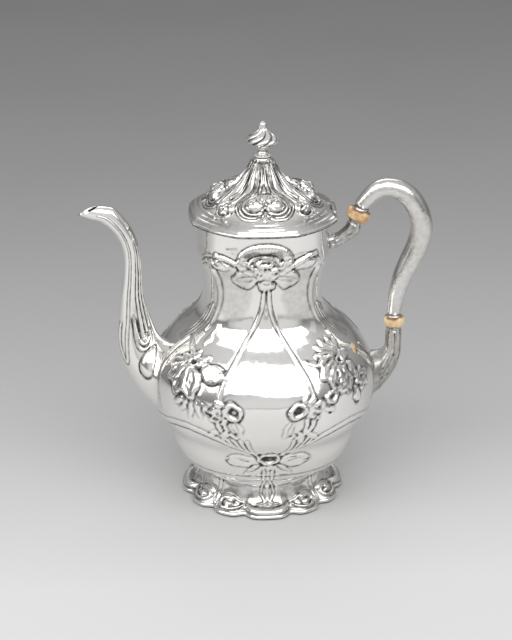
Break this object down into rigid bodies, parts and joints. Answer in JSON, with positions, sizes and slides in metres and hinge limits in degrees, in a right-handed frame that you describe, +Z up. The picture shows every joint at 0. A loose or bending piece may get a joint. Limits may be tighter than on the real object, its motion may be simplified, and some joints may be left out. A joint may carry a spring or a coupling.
{
  "type": "coffee pot",
  "caption": "Tall chased silver coffee pot with a hinged domed lid, swan-neck spout, lobed foot and a hollow S-curved handle set between ivory heat rings.",
  "frame": {"origin": "centre of the foot, on the surface that the pot stands on", "axes": "+Z up, the spout points to -X, the handle to +X, and Y runs across the pot"},
  "size_m": [0.2436, 0.1586, 0.2727],
  "materials": {
    "silver": "bright polished silver, chased, with darker oxidised crevices",
    "ivory": "polished aged ivory, warm tan with darker edges"
  },
  "bodies": {
    "pot": {"body_shell": "silver", "mouth_rim": "silver", "foot": "silver", "foot_wire": "silver", "spout": "silver", "upper_socket": "silver", "lower_socket": "silver", "upper_insulator": "ivory", "lower_insulator": "ivory", "handle_grip": "silver", "handle_pins": "silver", "hinge_leaf_pot": "silver", "hinge_pin": "silver"},
    "lid": {"lid_shell": "silver", "lid_bezel": "silver", "hinge_leaf_lid": "silver", "finial_collar": "silver", "finial": "silver", "finial_stud": "silver", "finial_washer": "silver", "finial_nut": "silver"}
  },
  "joints": [
    {"name": "lid_hinge", "type": "hinge", "parent": "pot", "child": "lid", "pos_m": [0.0484, 0, 0.2098], "axis": [0, 1, 0], "range_deg": [0, 100]}
  ]
}
